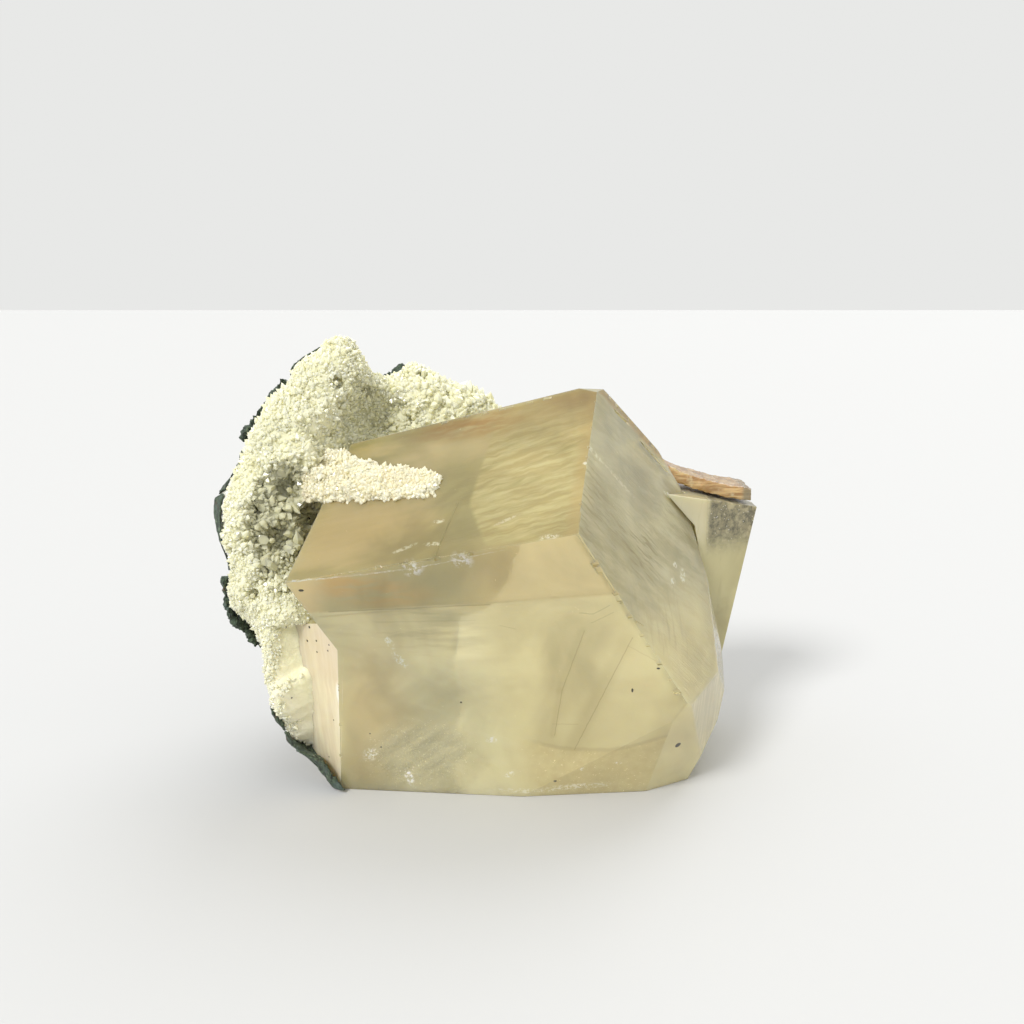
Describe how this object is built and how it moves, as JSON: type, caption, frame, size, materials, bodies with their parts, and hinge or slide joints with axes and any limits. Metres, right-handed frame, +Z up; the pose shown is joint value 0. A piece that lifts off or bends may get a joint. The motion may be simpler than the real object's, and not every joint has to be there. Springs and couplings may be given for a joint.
{
  "type": "calcite mineral specimen",
  "caption": "Honey calcite rhomb and a smaller calcite block on a curved chalcedony wall lined with quartz druse and backed by dark green rind; stands on its cleaved base.",
  "frame": {"origin": "middle of the footprint's bounding box, on the flat base that the specimen stands on", "axes": "+Z up, -Y the front with the large cleavage face, +X to the specimen's right as seen from the front, along its length"},
  "size_m": [0.0752, 0.041, 0.0583],
  "materials": {
    "honey_calcite": "polished, translucent, cleaved",
    "iron_stained_calcite": "satin, translucent, iron-stained",
    "chalcedony": "waxy, sugary with fine quartz druse",
    "quartz_druse": "sparkling, granular",
    "quartz": "glassy",
    "celadonite": "dull, earthy, fibrous"
  },
  "bodies": {
    "root": {"main_calcite_crystal": "honey_calcite", "side_calcite_block": "honey_calcite", "stained_ledge_plate": "iron_stained_calcite", "chalcedony_wall": "chalcedony", "druse_crust_patch": "quartz_druse", "quartz_crystal_01": "quartz", "quartz_crystal_02": "quartz", "quartz_crystal_03": "quartz", "quartz_crystal_04": "quartz", "quartz_crystal_05": "quartz", "quartz_crystal_06": "quartz", "quartz_crystal_07": "quartz", "quartz_crystal_08": "quartz", "quartz_crystal_09": "quartz", "quartz_crystal_10": "quartz", "quartz_crystal_11": "quartz", "quartz_crystal_12": "quartz", "quartz_crystal_13": "quartz", "quartz_crystal_14": "quartz", "quartz_crystal_15": "quartz", "quartz_crystal_16": "quartz", "quartz_crystal_17": "quartz", "quartz_crystal_18": "quartz", "quartz_crystal_19": "quartz", "quartz_crystal_20": "quartz", "rind_foot": "celadonite", "rind_shin": "celadonite", "rind_wedge": "celadonite", "rind_bulge": "celadonite", "rind_flake": "celadonite", "rind_shoulder": "celadonite", "rind_peak": "celadonite", "rind_heel": "celadonite", "rind_back_low": "celadonite", "rind_back_left": "celadonite", "rind_back_high": "celadonite", "rind_back_mid": "celadonite", "rind_back_crest": "celadonite", "rind_back_end": "celadonite", "rind_back_right": "celadonite"}
  },
  "joints": []
}
